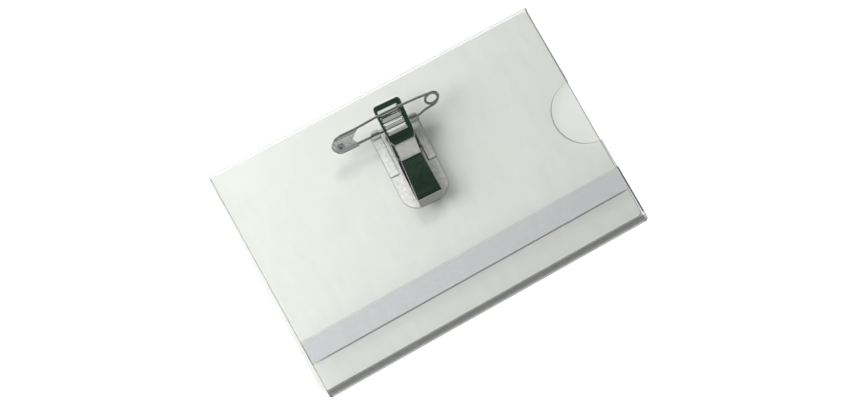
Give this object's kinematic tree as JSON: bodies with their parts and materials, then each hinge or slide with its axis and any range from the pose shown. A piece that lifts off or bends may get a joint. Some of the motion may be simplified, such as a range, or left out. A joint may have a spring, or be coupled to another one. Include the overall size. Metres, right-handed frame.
{
  "type": "name badge holder",
  "caption": "Clear folded name badge holder with an insert card and, on its back, a sprung alligator clip and a safety pin on one moulded base.",
  "frame": {"origin": "centre of the holder's flat front face, which it lies on", "axes": "+X along the long side towards the thumb notch, +Y towards the tight top crease, +Z out of the back, where the clip is"},
  "size_m": [0.091, 0.0616, 0.0097],
  "materials": {
    "clear_sheet": "clear, smooth",
    "clear_tape": "clear, slightly hazy",
    "card": "matt white paper board",
    "clear_mould": "clear, moulded",
    "nickel": "bright nickel plate",
    "pin_wire": "nickel-plated spring wire",
    "pin_cap_nickel": "satin nickel plate",
    "spring_steel": "plain drawn wire"
  },
  "bodies": {
    "holder": {"pocket_shell": "clear_sheet", "seam_tape": "clear_tape", "base_pad": "clear_tape", "clip_base": "clear_mould", "lower_jaw": "nickel", "pivot_pin": "nickel", "base_rivet": "nickel", "jaw_spring": "spring_steel"},
    "card": {"insert_card": "card"},
    "lever": {"upper_jaw": "nickel"},
    "pin": {"pin_fixed_arm": "pin_wire", "pin_coil": "pin_wire", "pin_cap": "pin_cap_nickel"},
    "pin_arm": {"pin_free_arm": "pin_wire"}
  },
  "joints": [
    {"name": "card_slide", "type": "slide", "parent": "holder", "child": "card", "axis": [1, 0, 0], "range_m": [0, 0.08]},
    {"name": "lever_pivot", "type": "hinge", "parent": "holder", "child": "lever", "pos_m": [0.00037, 0.01293, 0.00554], "axis": [-0.9989, 0.0471, -0.002], "range_deg": [0, 19], "stiffness_Nm_per_rad": 0.08, "springref_deg": -34.38, "deforming": ["jaw_spring"]},
    {"name": "pin_swing", "type": "hinge", "parent": "holder", "child": "pin", "pos_m": [0.00049, 0.0196, 0.00486], "axis": [0.9989, -0.0471, 0.002], "range_deg": [0, 85]},
    {"name": "pin_open", "type": "hinge", "parent": "pin", "child": "pin_arm", "pos_m": [0.01126, 0.02096, 0.0071], "axis": [0.0306, 0.6154, -0.7876], "range_deg": [0, 35], "deforming": ["pin_coil"]}
  ]
}
